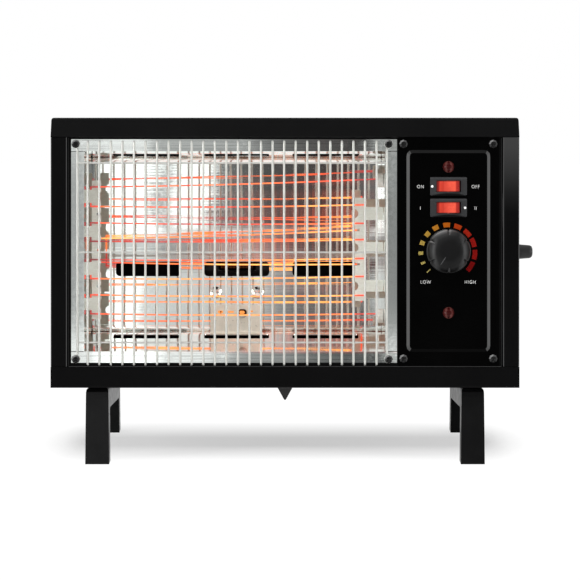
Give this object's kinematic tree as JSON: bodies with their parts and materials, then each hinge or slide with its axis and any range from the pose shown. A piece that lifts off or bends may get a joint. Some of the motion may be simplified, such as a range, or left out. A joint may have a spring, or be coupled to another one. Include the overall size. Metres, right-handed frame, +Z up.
{
  "type": "radiant space heater",
  "caption": "Low black box-shaped electric radiant heater on bridge feet, leaning back, with a wire grille over a ribbon element in a polished trough and a side control panel.",
  "frame": {"origin": "centre of the overall box on the floor under the soles", "axes": "+Z up from the floor, -Y out of the front grille towards the room, +X towards the control panel's side; the cabinet leans back by 6 degrees about X"},
  "size_m": [0.419, 0.2084, 0.2943],
  "materials": {
    "black_paint": "semi-gloss powder coat",
    "bright_aluminium": "polished",
    "chrome_wire": "bright plated wire",
    "black_plastic": "satin",
    "grey_plastic": "satin",
    "red_plastic": "translucent gloss",
    "dark_red_lens": "faceted gloss",
    "mica": "pressed board",
    "ceramic": "unglazed",
    "glowing_ribbon": "hot oxidised strip",
    "zinc_steel": "zinc plated",
    "copper_wire": "enamelled winding",
    "fibre_board": "pressed fibre",
    "black_screw": "blackened"
  },
  "bodies": {
    "cabinet": {"base_pan": "black_paint", "top_cover": "black_paint", "side_panel_left": "black_paint", "side_panel_right": "black_paint", "rear_panel": "black_paint", "control_panel": "black_paint", "reflector": "bright_aluminium", "reflector_end_left": "bright_aluminium", "reflector_end_right": "bright_aluminium", "cutout_plate": "bright_aluminium", "grille": "chrome_wire", "power_lamp": "black_plastic", "alarm_lamp": "black_plastic", "side_switch": "black_plastic", "tilt_switch": "black_plastic", "alarm_buzzer": "black_plastic", "cord_bush": "black_plastic", "foot_left": "black_plastic", "foot_right": "black_plastic", "power_switch": "grey_plastic", "heat_switch": "grey_plastic", "power_lens": "dark_red_lens", "alarm_lens": "dark_red_lens", "insulator_left": "mica", "insulator_right": "mica", "terminal_bush_upper": "ceramic", "terminal_bush_lower": "ceramic", "terminal_block": "ceramic", "ribbon_main": "glowing_ribbon", "ribbon_boost": "glowing_ribbon", "thermal_cutout": "zinc_steel", "motor_stack": "zinc_steel", "motor_stud_left": "zinc_steel", "motor_stud_right": "zinc_steel", "thermostat": "zinc_steel", "tilt_bracket": "zinc_steel", "motor_coil": "copper_wire", "heat_baffle": "fibre_board", "rear_screw_1": "black_screw", "rear_screw_2": "black_screw", "rear_screw_3": "black_screw", "rear_screw_4": "black_screw", "grille_screw_1": "black_screw", "grille_screw_2": "black_screw", "grille_screw_3": "black_screw", "grille_screw_4": "black_screw", "panel_screw_1": "black_screw", "panel_screw_2": "black_screw", "panel_screw_3": "black_screw", "panel_screw_4": "black_screw"},
    "power_rocker": {"power_rocker": "red_plastic"},
    "heat_rocker": {"heat_rocker": "red_plastic"},
    "thermostat_knob": {"thermostat_knob": "black_plastic", "thermostat_spindle": "zinc_steel"},
    "side_knob": {"side_knob": "black_plastic"},
    "tilt_lever": {"tilt_lever": "black_plastic"},
    "fan_rotor": {"fan_rotor": "black_plastic"}
  },
  "joints": [
    {"name": "power_rock", "type": "hinge", "parent": "cabinet", "child": "power_rocker", "pos_m": [0.13005, -0.08043, 0.23677], "axis": [0, 0.1045, 0.9945], "range_deg": [0, 16]},
    {"name": "heat_rock", "type": "hinge", "parent": "cabinet", "child": "heat_rocker", "pos_m": [0.13005, -0.08234, 0.21857], "axis": [0, 0.1045, 0.9945], "range_deg": [0, 16]},
    {"name": "thermostat_turn", "type": "hinge", "parent": "cabinet", "child": "thermostat_knob", "pos_m": [0.13005, -0.08823, 0.18189], "axis": [0, 0.9945, -0.1045], "range_deg": [0, 275]},
    {"name": "side_turn", "type": "hinge", "parent": "cabinet", "child": "side_knob", "pos_m": [0.19115, 0.00175, 0.17122], "axis": [1, 0, 0], "range_deg": [-135, 135]},
    {"name": "tilt_swing", "type": "hinge", "parent": "cabinet", "child": "tilt_lever", "pos_m": [-0.00945, -0.03791, 0.07132], "axis": [1, 0, 0], "range_deg": [-15, 15]},
    {"name": "fan_spin", "type": "hinge", "parent": "cabinet", "child": "fan_rotor", "pos_m": [-0.05245, -0.09257, 0.14444], "axis": [0, 0.9945, -0.1045], "continuous": true}
  ]
}
